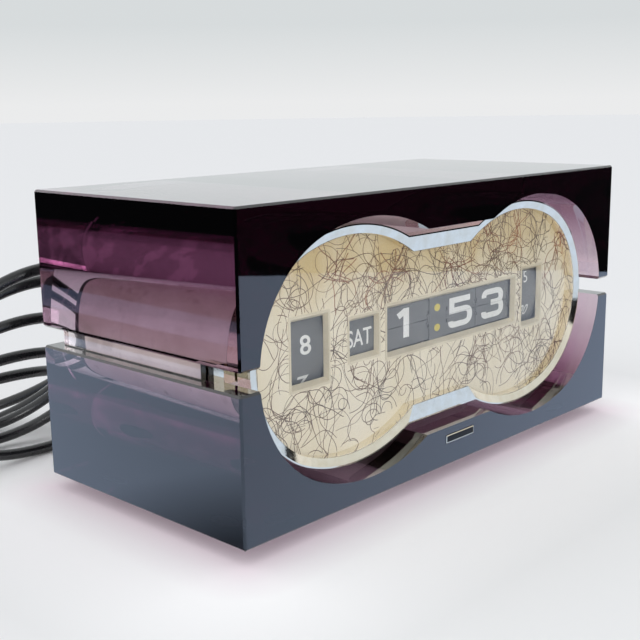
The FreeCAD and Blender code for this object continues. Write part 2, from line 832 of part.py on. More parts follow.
LEAD_ROUTE = [
    (22, 61, 34),
    (22, 76, 34),
    (13, 92, 22),
    (-9, 99, 8),
    (-34, 94, 3.2),
    (-60, 86, 2.4),
    (-82, 84, 2.4),
]
TAIL_ROUTE = [
    (-64, 107, 30),
    (-54, 121, 14),
    (-38, 129, 3.2),
    (-18, 127, 2.6),
    (0, 116, 4.5),
    (18, 112, 6.5),
    (36, 112, 6.5),
]


def tube(route, name):
    """A round lead along straight runs joined by tangent arcs."""
    points = [Vector(*point) for point in route]
    edges = []
    radii = []
    here = points[0]
    for before, corner, after in zip(points, points[1:], points[2:]):
        come = (corner - before).normalize()
        leave = (after - corner).normalize()
        turn = come.getAngle(leave)
        reach = 0.45 * min((corner - before).Length, (after - corner).Length)
        radii.append(round(reach / math.tan(turn / 2), 1))
        start, end = corner - come * reach, corner + leave * reach
        towards = (leave - come).normalize()
        sagitta = radii[-1] / math.cos(turn / 2) - radii[-1]
        middle = corner + towards * sagitta
        edges.append(Part.LineSegment(here, start).toShape())
        arc = Part.Arc(start, middle, end)
        edges.append(arc.toShape())
        here = end
    edges.append(Part.LineSegment(here, points[-1]).toShape())
    path = Part.Wire(edges)
    radius = dim("cord_radius")
    ring_edge = Part.makeCircle(radius, points[0], points[1] - points[0])
    solid = path.makePipeShell([Part.Wire([ring_edge])], True, True)
    length = path.Length
    ratio = solid.Volume / (math.pi * radius ** 2 * length)
    print(f"{name}: radii {radii}, length {length:.1f}, volume ratio {ratio:.4f}")
    return solid


COIL_X = -97
COIL_SECTIONS = [
    # (Y, Z) at the table, (Y, Z) at the top, half width
    ((80, 0.2), (53, 82), 45),
    ((106, 0.2), (66, 68), 45),
    ((146, 0.2), (88, 36), 42),
]


def coil_loop(section, inset):
    """One ellipse of the coil's outer shape, brought in by inset."""
    (y0, z0), (y1, z1), wide = section
    height = math.hypot(y1 - y0, z1 - z0) / 2
    up = Vector(0, (y1 - y0) / (2 * height), (z1 - z0) / (2 * height))
    centre = Vector(COIL_X, (y0 + y1) / 2, (z0 + z1) / 2)
    tall = up * (height - inset)
    span = Vector(wide - inset, 0, 0)
    longer, shorter = (tall, span) if tall.Length > span.Length else (span, tall)
    return Part.Wire([Part.Ellipse(centre + longer, centre + shorter, centre).toShape()])


def coil():
    """The outer shape of the loose coil: a leaning ring that widens towards the back."""
    outer = Part.makeLoft([coil_loop(section, 0) for section in COIL_SECTIONS], True, True)
    thick = dim("coil_thickness")
    inner = Part.makeLoft([coil_loop(section, thick) for section in COIL_SECTIONS], True, True)
    return outer.cut(inner)


def strain_relief():
    """A neck through the cover, a flange against it and a taper along the lead."""
    x, z = RELIEF
    inside = 1.9
    flange = 1.5
    neck = f"{inside} + cover_thickness + {flange}"
    pieces = [
        cylinder("relief_stem", "relief_neck", neck, (x, f"cover_front - {inside}", z), ALONG_Y),
        cylinder("relief_disc", "relief_flange", flange, (x, COVER_BACK, z), ALONG_Y),
    ]
    taper = doc.addObject("Part::Cone", "relief_taper")
    sizes = {
        "Radius1": "relief_root",
        "Radius2": "relief_tip",
        "Height": f"relief_end - {COVER_BACK.replace('+', '-')} - {flange}",
    }
    pieces.append(bind(taper, sizes, (x, f"{COVER_BACK} + {flange}", z), ALONG_Y))
    node("strain_relief", fuse("strain_relief", pieces))


def cord():
    strain_relief()
    node("cord_lead", feature("cord_lead", tube(LEAD_ROUTE, "cord_lead")))
    node("cord_tail", feature("cord_tail", tube(TAIL_ROUTE, "cord_tail")))
    node("cord_coil", feature("cord_coil", coil()))
    plug(TAIL_ROUTE[-1])


def plug(rear):
    """A two-blade plug lying on its flat side."""
    x, y, z = rear
    size = ("plug_length", "plug_width", "2 * " + str(z))
    blank = box("plug_blank", (x, f"{y} - plug_width / 2", 0), size)
    doc.recompute()
    body = doc.addObject("Part::Chamfer", "plug_body")
    body.Base = blank
    body.Edges = [(i + 1, 1.5, 1.5) for i in range(len(blank.Shape.Edges))]
    node("plug_body", body)
    blades = []
    for side in (-1, 1):
        place = (f"{x} + plug_length", f"{y} + {side} * 6.35 - 0.75", z - 3.1)
        blades.append(box(f"plug_blade_{side + 1}", place, (16, 1.5, 6.2)))
    node("plug_blades", group("plug_blades", blades))


case()
pod()
drums()
train()
for module in MODULES:
    leaf_module(module)
mechanism()
rear()
cord()
doc.recompute()

problems = []
for item in doc.Objects:
    if "Invalid" in item.State or "Error" in item.State:
        problems.append(f"{item.Name}: {item.State}")
for item in nodes:
    shape = item.Shape
    if shape.isNull() or not shape.isValid() or not shape.Solids:
        problems.append(f"{item.Label}: bad shape")
if problems:
    raise SystemExit("\n".join(problems))

os.makedirs("parts", exist_ok=True)
for item in nodes:
    item.Shape.exportStep(os.path.join("parts", item.Label + ".step"))
print(len(nodes), "sub-parts written")
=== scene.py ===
import json
import math
import random

import bmesh
import bpy
from mathutils import Euler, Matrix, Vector


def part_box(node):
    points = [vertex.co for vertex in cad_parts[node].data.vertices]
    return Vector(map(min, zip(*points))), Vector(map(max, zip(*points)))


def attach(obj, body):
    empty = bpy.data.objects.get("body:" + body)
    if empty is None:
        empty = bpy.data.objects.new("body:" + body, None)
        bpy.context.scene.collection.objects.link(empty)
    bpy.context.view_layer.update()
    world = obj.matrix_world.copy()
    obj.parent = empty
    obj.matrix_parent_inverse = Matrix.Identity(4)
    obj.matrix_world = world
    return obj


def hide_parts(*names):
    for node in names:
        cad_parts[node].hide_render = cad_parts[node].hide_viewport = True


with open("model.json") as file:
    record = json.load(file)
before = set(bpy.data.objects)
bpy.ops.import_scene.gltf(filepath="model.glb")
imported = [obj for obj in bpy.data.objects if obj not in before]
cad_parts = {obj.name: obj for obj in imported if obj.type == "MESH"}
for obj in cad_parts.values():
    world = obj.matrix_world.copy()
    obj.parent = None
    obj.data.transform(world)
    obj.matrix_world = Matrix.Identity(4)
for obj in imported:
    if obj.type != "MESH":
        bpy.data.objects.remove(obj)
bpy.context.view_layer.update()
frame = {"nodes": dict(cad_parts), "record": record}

MM = 0.001
# Height of the drums' and leaves' middle, in millimetres.
AXIS_Z = 55
# Y of the face plate's front, in millimetres.
FACE_Y = -37


# ---------------------------------------------------------------- camera

def make_camera():
    camera = bpy.data.objects.new("camera", bpy.data.cameras.new("camera"))
    camera.data.lens = 58.47
    camera.data.sensor_width = 36
    camera.location = (-0.29291, -0.25897, 0.13254)
    turn, down, roll = math.radians(-46.57), math.radians(90 - 11.89), math.radians(-0.82)
    look = Euler((down, 0, turn)).to_matrix() @ Euler((0, 0, roll)).to_matrix()
    camera.rotation_euler = look.to_euler()
    camera.data.clip_start = 0.01
    bpy.context.collection.objects.link(camera)
    bpy.context.scene.camera = camera


make_camera()


# ---------------------------------------------------------------- mains lead

LEAD_ROUTE = [
    (22, 76, 34),
    (13, 92, 22),
    (-9, 99, 8),
    (-34, 94, 3.2),
    (-60, 86, 2.4),
]
TAIL_ROUTE = [
    (-54, 119, 15),
    (-40, 127, 5),
    (-20, 126, 2.6),
    (0, 117, 4),
    (18, 112, 6.5),
    (36, 112, 6.5),
]
# The loose coil's turns: Y at the table, then Y and Z at the top, and half the width.
TURNS = [
    (84, 1.9, 57, 78, 40),
    (105, 2.4, 62, 72.6, 42),
    (117, 4.0, 70, 57.5, 39),
    (127, 2.6, 80, 42, 37),
    (140, 4.5, 90, 32, 38),
]
COIL_X = -97
POINTS_PER_TURN = 12
# The last turn stops short by this many points, where the tail takes over.
POINTS_LEFT_OUT = 4
CORD_RADIUS = 2.1 * MM


def coil_points():
    """Leaning turns that fan out: each goes left at the table, up, right over its top and down."""
    points = []
    for step in range(POINTS_PER_TURN * len(TURNS) + 1):
        at = step / POINTS_PER_TURN
        turn = min(int(at), len(TURNS) - 1)
        here = TURNS[turn]
        after = TURNS[min(turn + 1, len(TURNS) - 1)]
        share = at - turn
        angle = 2 * math.pi * share
        low_y = here[0] + (after[0] - here[0]) * share
        low_z = here[1] + (after[1] - here[1]) * share
        top_y, top_z = here[2], here[3]
        wide = here[4] + (after[4] - here[4]) * share
        rise = (1 - math.cos(angle)) / 2
        points.append(
            (
                COIL_X - wide * math.sin(angle),
                low_y + (top_y - low_y) * rise,
                low_z + (top_z - low_z) * rise,
            )
        )
    return points[:-POINTS_LEFT_OUT]


def make_cord():
    exit_low, exit_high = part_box("strain_relief")
    exit_point = ((exit_low.x + exit_high.x) / 2, exit_high.y, (exit_low.z + exit_high.z) / 2)
    route = [exit_point]
    for x, y, z in LEAD_ROUTE + coil_points() + TAIL_ROUTE:
        route.append((x * MM, y * MM, z * MM))
    curve = bpy.data.curves.new("mains_lead", "CURVE")
    curve.dimensions = "3D"
    curve.twist_mode = "MINIMUM"
    curve.bevel_mode = "ROUND"
    curve.bevel_depth = 1
    curve.bevel_resolution = 4
    curve.resolution_u = 6
    curve.use_fill_caps = True
    spline = curve.splines.new("NURBS")
    spline.points.add(len(route) - 1)
    for point, place in zip(spline.points, route):
        point.co = (*place, 1)
        point.radius = CORD_RADIUS
    spline.order_u = 3
    spline.use_endpoint_u = True
    lead = bpy.data.objects.new("mains_lead", curve)
    bpy.context.collection.objects.link(lead)
    lead.visible_glossy = False
    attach(lead, "case")
    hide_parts("cord_lead", "cord_coil", "cord_tail")
    return lead


# ---------------------------------------------------------------- materials

def srgb(red, green, blue):
    """A linear colour from 0-255 values."""
    linear = []
    for level in (red, green, blue):
        part = level / 255
        linear.append(part / 12.92 if part <= 0.04045 else ((part + 0.055) / 1.055) ** 2.4)
    return (*linear, 1)


class Look:
    """A node material that is built up step by step."""

    def __init__(self, name):
        self.material = bpy.data.materials.new(name)
        self.material.use_nodes = True
        self.nodes = self.material.node_tree.nodes
        self.links = self.material.node_tree.links
        self.shader = self.nodes["Principled BSDF"]
        self.output = self.nodes["Material Output"]
        self.coords = self.nodes.new("ShaderNodeTexCoord")

    def set(self, **values):
        for name, value in values.items():
            self.shader.inputs[name.replace("_", " ")].default_value = value
        return self

    def link(self, source, target):
        self.links.new(source, target)

    def mapped(self, scale):
        """Object coordinates, stretched by scale along X, Y and Z."""
        mapping = self.nodes.new("ShaderNodeMapping")
        mapping.inputs["Scale"].default_value = scale
        self.link(self.coords.outputs["Object"], mapping.inputs["Vector"])
        return mapping.outputs["Vector"]

    def noise(self, size, detail=3, scale=(1, 1, 1), rough=0.5):
        """Noise whose features are about size metres."""
        noise = self.nodes.new("ShaderNodeTexNoise")
        noise.inputs["Scale"].default_value = 1 / size
        noise.inputs["Detail"].default_value = detail
        noise.inputs["Roughness"].default_value = rough
        self.link(self.mapped(scale), noise.inputs["Vector"])
        return noise.outputs["Fac"]

    def height(self):
        """Height above the table in metres, for a piece that does not move."""
        parts = self.nodes.new("ShaderNodeSeparateXYZ")
        self.link(self.coords.outputs["Object"], parts.inputs["Vector"])
        return parts.outputs["Z"]

    def ramp(self, factor, stops):
        """A colour ramp of (place, colour) stops."""
        ramp = self.nodes.new("ShaderNodeValToRGB")
        elements = ramp.color_ramp.elements
        while len(elements) < len(stops):
            elements.new(0.5)
        for element, (place, colour) in zip(elements, stops):
            element.position = place
            element.color = colour
        self.link(factor, ramp.inputs["Fac"])
        return ramp.outputs["Color"]

    def levels(self, factor, low, high, start=0.3, end=0.7):
        """A number that runs from low to high as factor does from start to end."""
        levels = self.nodes.new("ShaderNodeMapRange")
        levels.inputs["From Min"].default_value = start
        levels.inputs["From Max"].default_value = end
        levels.inputs["To Min"].default_value = low
        levels.inputs["To Max"].default_value = high
        self.link(factor, levels.inputs["Value"])
        return levels.outputs["Result"]

    def colour(self, factor, stops):
        self.link(self.ramp(factor, stops), self.shader.inputs["Base Color"])
        return self

    def rough(self, factor, low, high):
        self.link(self.levels(factor, low, high), self.shader.inputs["Roughness"])
        return self

    def bump(self, factor, depth):
        """Bumps of that many metres."""
        bump = self.nodes.new("ShaderNodeBump")
        bump.inputs["Distance"].default_value = depth
        bump.inputs["Strength"].default_value = 1
        self.link(factor, bump.inputs["Height"])
        self.link(bump.outputs["Normal"], self.shader.inputs["Normal"])
        return self

    def absorb(self, colour, density):
        volume = self.nodes.new("ShaderNodeVolumeAbsorption")
        volume.inputs["Color"].default_value = (*colour, 1)
        volume.inputs["Density"].default_value = density
        self.link(volume.outputs["Volume"], self.output.inputs["Volume"])
        return self


def plastic(name, dark, light, rough, grain, depth, **values):
    """Moulded plastic with a fine texture and slightly uneven colour."""
    look = Look(name).set(**values)
    look.colour(look.noise(14 * MM, 4), [(0.35, dark), (0.65, light)])
    look.rough(look.noise(5 * MM, 3), *rough)
    return look.bump(look.noise(grain, 2), depth).material


def metal(name, dark, light, rough, brush, depth, **values):
    """Metal with brushed or turned streaks; brush stretches the noise."""
    look = Look(name).set(Metallic=1, **values)
    streaks = look.noise(1.2 * MM, 4, brush, 0.6)
    look.colour(streaks, [(0.3, dark), (0.7, light)])
    look.rough(look.noise(3 * MM, 3, brush), *rough)
    return look.bump(streaks, depth).material


def acrylic(name, colour, density, tint):
    look = Look(name).set(
        Transmission_Weight=1.0, IOR=1.49, Base_Color=tint, Coat_Weight=1.0, Coat_IOR=1.6
    )
    look.rough(look.noise(9 * MM, 5), 0.0, 0.006)
    return look.absorb(colour, density).material


def make_materials():
    made = {}
    made["purple_acrylic"] = acrylic("purple_acrylic", (0.36, 0.0, 0.24), 66, (1, 0.98, 0.99, 1))
    made["clear_pink_acrylic"] = acrylic(
        "clear_pink_acrylic", (0.7, 0.3, 0.4), 24, (1, 0.97, 0.97, 1)
    )
    lens = Look("clear_lens").set(Transmission_Weight=1.0, IOR=1.46)
    lens.rough(lens.noise(20 * MM, 3), 0.0, 0.012)
    made["clear_lens"] = lens.material
    chrome = Look("chrome").set(Metallic=1)
    chrome.colour(chrome.noise(6 * MM, 4), [(0.3, srgb(238, 228, 206)), (0.7, srgb(248, 242, 226))])
    chrome.rough(chrome.noise(2 * MM, 4, (1, 1, 1), 0.65), 0.03, 0.1)
    chrome.bump(chrome.noise(0.7 * MM, 2, (0.3, 1, 1)), 0.002 * MM)
    made["chrome"] = chrome.material
    made["black_plate"] = plastic(
        "black_plate", srgb(14, 14, 15), srgb(24, 24, 26), (0.35, 0.5), 0.5 * MM, 0.004 * MM,
        Specular_IOR_Level=0.2,
    )
    face = Look("cream_face").set(Specular_IOR_Level=0.35)
    # painted shade: tan towards the top, where the block above shades the face; cream below, with
    # uneven patches of tone
    top_shade_and_patches = face.nodes.new("ShaderNodeMath")
    top_shade_and_patches.operation = "ADD"
    # the painted shade: tan grows with height over the top of the face
    face.link(face.levels(face.height(), 0, 0.62, 62 * MM, 80 * MM), top_shade_and_patches.inputs[0])
    face.link(face.levels(face.noise(22 * MM, 5, (1.6, 1, 0.5)), 0, 0.38), top_shade_and_patches.inputs[1])
    face.colour(
        top_shade_and_patches.outputs["Value"],
        [(0.0, srgb(250, 240, 216)), (0.45, srgb(243, 230, 198)), (0.95, srgb(222, 198, 146))],
    )
    face.rough(face.noise(3 * MM, 3), 0.42, 0.6)
    face.bump(face.noise(0.4 * MM, 2), 0.004 * MM)
    made["cream_face"] = face.material
    made["cream_frame"] = plastic(
        "cream_frame", srgb(220, 207, 178), srgb(236, 225, 198), (0.38, 0.55), 0.3 * MM, 0.006 * MM
    )
    made["black_shell"] = plastic(
        "black_shell", srgb(20, 20, 22), srgb(34, 34, 37), (0.42, 0.6), 0.5 * MM, 0.02 * MM
    )
    made["white_shell"] = plastic(
        "white_shell", srgb(226, 214, 204), srgb(242, 234, 226), (0.25, 0.4), 2 * MM, 0.002 * MM
    )
    made["black_rubber"] = plastic(
        "black_rubber", srgb(18, 18, 19), srgb(32, 31, 31), (0.6, 0.8), 0.6 * MM, 0.03 * MM
    )
    made["grey_display"] = plastic(
        "grey_display", srgb(110, 112, 112), srgb(120, 121, 121), (0.3, 0.42), 0.4 * MM, 0.003 * MM
    )
    made["white_nylon"] = plastic(
        "white_nylon", srgb(214, 210, 198), srgb(232, 229, 219), (0.35, 0.5), 0.5 * MM, 0.01 * MM,
        Subsurface_Weight=0.1,
    )
    made["black_plug"] = plastic(
        "black_plug", srgb(16, 16, 18), srgb(26, 26, 28), (0.25, 0.4), 0.5 * MM, 0.01 * MM
    )
    made["black_knob"] = plastic(
        "black_knob", srgb(16, 16, 17), srgb(28, 28, 30), (0.2, 0.34), 0.5 * MM, 0.006 * MM
    )
    steel = (srgb(150, 152, 152), srgb(190, 192, 190))
    made["steel_plate"] = metal("steel_plate", *steel, (0.3, 0.5), (1, 0.08, 1), 0.004 * MM)
    made["steel_axle"] = metal("steel_axle", *steel, (0.18, 0.3), (0.3, 1, 1), 0.002 * MM)
    zinc = (srgb(176, 178, 172), srgb(214, 214, 206))
    made["zinc_screws"] = metal("zinc_screws", *zinc, (0.25, 0.45), (1, 1, 1), 0.006 * MM)
    made["zinc_can"] = metal("zinc_can", *zinc, (0.3, 0.5), (0.2, 1, 1), 0.004 * MM)
    brass = (srgb(176, 140, 74), srgb(214, 180, 108))
    made["brass_gear"] = metal("brass_gear", *brass, (0.2, 0.36), (1, 1, 1), 0.003 * MM)
    made["brass_blades"] = metal("brass_blades", *brass, (0.15, 0.3), (0.1, 1, 1), 0.002 * MM)
    made["copper_coil"] = metal(
        "copper_coil", srgb(120, 58, 30), srgb(186, 98, 58), (0.25, 0.4), (6, 1, 1), 0.02 * MM
    )
    made["black_cord"] = plastic(
        "black_cord", srgb(10, 11, 13), srgb(20, 21, 24), (0.2, 0.34), 1.2 * MM, 0.008 * MM,
        Coat_Weight=0.4, Coat_Roughness=0.15,
    )
    made["white_figures"] = plastic(
        "white_figures", srgb(240, 240, 234), srgb(250, 250, 246), (0.4, 0.55), 0.4 * MM, 0.002 * MM
    )
    made["yellow_dots"] = plastic(
        "yellow_dots", srgb(216, 196, 84), srgb(230, 212, 104), (0.4, 0.5), 0.4 * MM, 0.002 * MM
    )
    made["brown_threads"] = plastic(
        "brown_threads", srgb(82, 54, 32), srgb(126, 92, 62), (0.4, 0.6), 0.6 * MM, 0.002 * MM
    )
    made["red_threads"] = plastic(
        "red_threads", srgb(112, 52, 18), srgb(160, 92, 40), (0.4, 0.6), 0.6 * MM, 0.002 * MM
    )
    return made


LOOKS = make_materials()
CLEAR_PIECES = (
    "upper_case_block", "lower_case_block", "left_side_strip", "right_side_strip", "front_lens"
)


def paint(item, look):
    item.data.materials.clear()
    item.data.materials.append(look)


def paint_nodes():
    """Every carried-over CAD node gets the look of its slot."""
    slots = {part["node"]: part["material_slot"] for part in frame["record"]["subparts"]}
    for name, item in frame["nodes"].items():
        look = LOOKS[slots[name]]
        for place in item.material_slots:
            place.link = "OBJECT"
            place.material = look
        if not item.material_slots:
            item.data.materials.append(look)


paint_nodes()
# The clear pieces cast no shadow, so that light reaches what is behind them.
for clear in CLEAR_PIECES:
    frame["nodes"][clear].visible_shadow = False


# ---------------------------------------------------------------- mesh helpers

def new_mesh(name, build, look, body):
    """A mesh piece; build(bm) fills it in metres."""
    mesh = bpy.data.meshes.new(name)
    bm = bmesh.new()
    build(bm)
    bmesh.ops.remove_doubles(bm, verts=bm.verts, dist=1e-7)
    bmesh.ops.recalc_face_normals(bm, faces=bm.faces)
    bm.to_mesh(mesh)
    bm.free()
    item = bpy.data.objects.new(name, mesh)
    bpy.context.collection.objects.link(item)
    mesh.materials.append(LOOKS[look])
    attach(item, body)
    return item


# ---------------------------------------------------------------- figures

STROKE = 2.2
FIGURE_STRETCH = 1.42
# How far ink stands out of the surface it is printed on, and how far it sinks in.
INK = 0.03
# Centre lines of the large figures before they are stretched: corners as (x, z, radius).
BIG_FIGURES = {
    "0": [
        [
            (0, 4.6, 0), (4.1, 4.6, 2.6), (4.1, -4.6, 2.6), (-4.1, -4.6, 2.6), (-4.1, 4.6, 2.6),
            (0, 4.6, 0),
        ]
    ],
    "1": [[(-2.4, 3.6, 0), (0.6, 5.3, 0)], [(0.8, 6.1, 0), (0.8, -4.4, 0)]],
    "2": [
        [
            (-4.1, 2.6, 0), (-4.1, 4.6, 1.8), (4.1, 4.6, 2.4), (4.1, 0.6, 2), (-4.1, -2.4, 2),
            (-4.1, -4.6, 0), (4.6, -4.6, 0),
        ]
    ],
    "3": [
        [(-4.1, 2.5, 0), (-4.1, 4.6, 1.7), (3.95, 4.6, 2.2), (3.95, 0.25, 2.05), (-0.9, 0.25, 0)],
        [(-0.9, 0.25, 0), (4.1, 0.25, 2.3), (4.1, -4.6, 2.5), (-4.2, -4.6, 1.2), (-4.2, -2.9, 0)],
    ],
    "4": [[(2.4, -5.4, 0), (2.4, 5.4, 0)], [(2.0, 4.6, 0), (-4.3, -1.9, 0), (4.9, -1.9, 0)]],
    "5": [
        [
            (4.2, 4.6, 0), (-3.9, 4.6, 0), (-3.9, 0.75, 0), (4.1, 0.75, 2.5), (4.1, -4.6, 2.6),
            (-4.3, -4.6, 1.2), (-4.3, -3.1, 0),
        ]
    ],
    "6": [
        [
            (4.0, 4.0, 0), (3.2, 4.6, 0.6), (-4.1, 4.6, 2.8), (-4.1, -4.6, 2.6), (4.1, -4.6, 2.6),
            (4.1, 0.5, 2.4), (-4.1, 0.5, 0),
        ]
    ],
}


def rounded(corners, pieces=8):
    """A centre line through the corners, each rounded to its radius."""
    line = [Vector(corners[0][:2])]
    for before, corner, after in zip(corners, corners[1:], corners[2:]):
        here = Vector(corner[:2])
        come = (here - Vector(before[:2])).normalized()
        leave = (Vector(after[:2]) - here).normalized()
        turn = come.angle(leave)
        reach = corner[2] * math.tan(turn / 2)
        start, end = here - come * reach, here + leave * reach
        for step in range(pieces + 1):
            share = step / pieces
            bend = start.lerp(here, share).lerp(here.lerp(end, share), share)
            line.append(bend)
    line.append(Vector(corners[-1][:2]))
    return line


def ribbon(bm, line, half, place, stretch):
    """A flat stroke along line, as a thin prism; place(x, z, up) gives its point in space."""
    closed = (line[0] - line[-1]).length < 1e-6
    points = []
    for spot in line[:-1] if closed else line:
        if not points or (spot - points[-1]).length > 1e-4:
            points.append(spot)
    count = len(points)
    rows = []
    for i, spot in enumerate(points):
        before = points[i - 1] if i or closed else spot
        after = points[(i + 1) % count] if i + 1 < count or closed else spot
        ahead = (after - spot).normalized()
        come = (spot - before).normalized() if before != spot else ahead
        along = (come + ahead).normalized()
        side = Vector((-along.y, along.x))
        grow = half / max(0.5, side.dot(Vector((-come.y, come.x))))
        row = []
        for across, up in ((1, 0), (-1, 0), (-1, 1), (1, 1)):
            edge = spot + side * grow * across
            row.append(bm.verts.new(place(edge.x * stretch, edge.y, up)))
        rows.append(row)
    spans = count if closed else count - 1
    for i in range(spans):
        here, there = rows[i], rows[(i + 1) % count]
        for k in range(4):
            bm.faces.new((here[k], here[(k + 1) % 4], there[(k + 1) % 4], there[k]))
    if not closed:
        bm.faces.new(rows[0])
        bm.faces.new(rows[-1])


def cut_half(bm, upper):
    """Keeps the upper or the lower half of a figure that is built about height 0."""
    gap = 0.05 if upper else -0.05
    geometry = bm.verts[:] + bm.edges[:] + bm.faces[:]
    bmesh.ops.bisect_plane(
        bm,
        geom=geometry,
        plane_co=(0, 0, gap),
        plane_no=(0, 0, 1),
        clear_inner=upper,
        clear_outer=not upper,
        dist=1e-4,
    )
    rims = [edge for edge in bm.edges if edge.is_boundary]
    bmesh.ops.holes_fill(bm, edges=rims, sides=0)


def half_figure(name, figure, upper, centre_x, place, body):
    """Half of a large figure; place(x, z, up) takes millimetres about the split line."""
    def build(bm):
        for k, corners in enumerate(BIG_FIGURES[figure]):
            # each stroke a little higher than the last, so that no two faces coincide
            ink = INK * (1 + 0.2 * k)
            stroke = bmesh.new()

            def flat(x, z, up, ink=ink):
                return (x, ink if up else -ink, z)

            ribbon(stroke, rounded(corners), STROKE / 2, flat, FIGURE_STRETCH)
            cut_half(stroke, upper)
            bmesh.ops.recalc_face_normals(stroke, faces=stroke.faces)
            copies = {}
            for vertex in stroke.verts:
                x, up, z = vertex.co
                copies[vertex] = bm.verts.new(place(centre_x + x, z, up))
            for face in stroke.faces:
                bm.faces.new([copies[vertex] for vertex in face.verts])
            stroke.free()
    return new_mesh(name, build, "white_figures", body)


# Each module: middle X of its figure, figure now, next figure, leaf count.
FIGURES = {
    "hour": (-13.4, "1", "2", 12),
    "tens": (20.2, "5", "0", 12),
    "units": (41.4, "3", "4", 10),
}
# Y and Z of the leaf axle.
LEAF_AXLE = (-29.1, AXIS_Z)
PIN_CIRCLE = 5.6
LEAF_THICKNESS = 0.25
LAST_LEAN = math.radians(60)


def leaf_place(count, index, back=False):
    """Puts a figure on leaf index of a wheel: x and z about the split, up out of the leaf."""
    step = 2 * math.pi / count
    pin = step * (index + 0.5)
    lean = LAST_LEAN * (pin - step / 2) / (math.pi - step)
    pin_y = LEAF_AXLE[0] - PIN_CIRCLE * math.cos(pin)
    pin_z = LEAF_AXLE[1] + PIN_CIRCLE * math.sin(pin)
    offset = PIN_CIRCLE * math.sin(math.pi / count)

    def place(x, z, up):
        local_y = -(LEAF_THICKNESS / 2 + up)
        local_z = z - offset
        if back:
            local_y = LEAF_THICKNESS / 2 + up
            local_z = -z - offset
        y = pin_y + local_y * math.cos(lean) + local_z * math.sin(lean)
        height = pin_z - local_y * math.sin(lean) + local_z * math.cos(lean)
        return (x * MM, y * MM, height * MM)

    return place


def lower_place(count):
    """Puts a lower half figure on the leaf that hangs in front."""
    def place(x, z, up):
        y = LEAF_AXLE[0] - PIN_CIRCLE * math.cos(math.pi / count) - LEAF_THICKNESS / 2 - up
        return (x * MM, y * MM, (LEAF_AXLE[1] + z) * MM)
    return place


def make_figures():
    for name, (x, now, after, count) in FIGURES.items():
        half_figure(f"{name}_figure_upper", now, True, x, leaf_place(count, 0), f"{name}_leaf")
        half_figure(f"{name}_figure_lower", now, False, x, lower_place(count), name)
        half_figure(f"{name}_next_upper", after, True, x, leaf_place(count, 1), name)
        half_figure(
            f"{name}_next_lower", after, False, x, leaf_place(count, 0, back=True), f"{name}_leaf"
        )


make_figures()


def slice_rows(mesh, rows=14):
    """Cuts a flat word into rows, so that it can follow a drum's curve."""
    bm = bmesh.new()
    bm.from_mesh(mesh)
    low = min(vertex.co.y for vertex in bm.verts)
    high = max(vertex.co.y for vertex in bm.verts)
    for row in range(1, rows):
        geometry = bm.verts[:] + bm.edges[:] + bm.faces[:]
        level = (0, low + (high - low) * row / rows, 0)
        bmesh.ops.bisect_plane(bm, geom=geometry, plane_co=level, plane_no=(0, 1, 0))
    bm.to_mesh(mesh)
    bm.free()


def letters(text, size, wide, lean=0.0, weight=0.0):
    """Triangles of a word set flat, centred, as lists of (x, z) corners in millimetres."""
    curve = bpy.data.curves.new("word", "FONT")
    curve.body = text
    curve.size = 1
    curve.align_x = "CENTER"
    curve.align_y = "CENTER"
    curve.shear = lean
    curve.offset = weight
    curve.resolution_u = 4
    item = bpy.data.objects.new("word", curve)
    bpy.context.collection.objects.link(item)
    bpy.context.view_layer.update()
    graph = bpy.context.evaluated_depsgraph_get()
    mesh = bpy.data.meshes.new_from_object(item.evaluated_get(graph))
    slice_rows(mesh)
    low_x = min(v.co.x for v in mesh.vertices)
    high_x = max(v.co.x for v in mesh.vertices)
    low_y = min(v.co.y for v in mesh.vertices)
    high_y = max(v.co.y for v in mesh.vertices)
    tall = size / (high_y - low_y)
    across = wide / (high_x - low_x)
    points = []
    for vertex in mesh.vertices:
        x = (vertex.co.x - (low_x + high_x) / 2) * across
        z = (vertex.co.y - (low_y + high_y) / 2) * tall
        points.append((x, z))
    faces = [tuple(face.vertices) for face in mesh.polygons]
    bpy.data.objects.remove(item)
    bpy.data.curves.remove(curve)
    bpy.data.meshes.remove(mesh)
    return points, faces


DRUM_RADIUS = 26
DRUM_Y = -9


def wrapped(bm, points, faces, centre_x, angle):
    """Flat letters laid on a drum, as a thin skin: angle 0 faces the front and grows upward."""
    def place(x, z, up):
        turn = math.radians(angle) + z / DRUM_RADIUS
        radius = DRUM_RADIUS + up
        y = DRUM_Y - radius * math.cos(turn)
        return ((centre_x + x) * MM, y * MM, (AXIS_Z + radius * math.sin(turn)) * MM)

    outer = [bm.verts.new(place(x, z, INK)) for x, z in points]
    inner = [bm.verts.new(place(x, z, -INK)) for x, z in points]
    # the edges that only one face has, in the order in which they were met
    borders = {}
    for face in faces:
        bm.faces.new([outer[i] for i in face])
        bm.faces.new([inner[i] for i in reversed(face)])
        for a, b in zip(face, face[1:] + face[:1]):
            borders[(a, b)] = None
            if (b, a) in borders:
                del borders[(a, b)], borders[(b, a)]
    for a, b in borders:
        bm.faces.new((outer[a], inner[a], inner[b], outer[b]))


def drum_words(name, words, first, pitch, centre_x, body):
    """Words round a drum: words[0] at angle first, each next one lower by pitch."""
    def build(bm):
        for i, (points, faces) in enumerate(words):
            wrapped(bm, points, faces, centre_x, first - pitch * i)
    return new_mesh(name, build, "white_figures", body)


def bar(width, height, rows=4):
    """A small rectangle as points and faces, for a drum's marks."""
    points, faces = [], []
    for row in range(rows + 1):
        z = height * (row / rows - 0.5)
        points += [(-width / 2, z), (width / 2, z)]
    for row in range(rows):
        a = 2 * row
        faces.append((a, a + 1, a + 3, a + 2))
    return points, faces


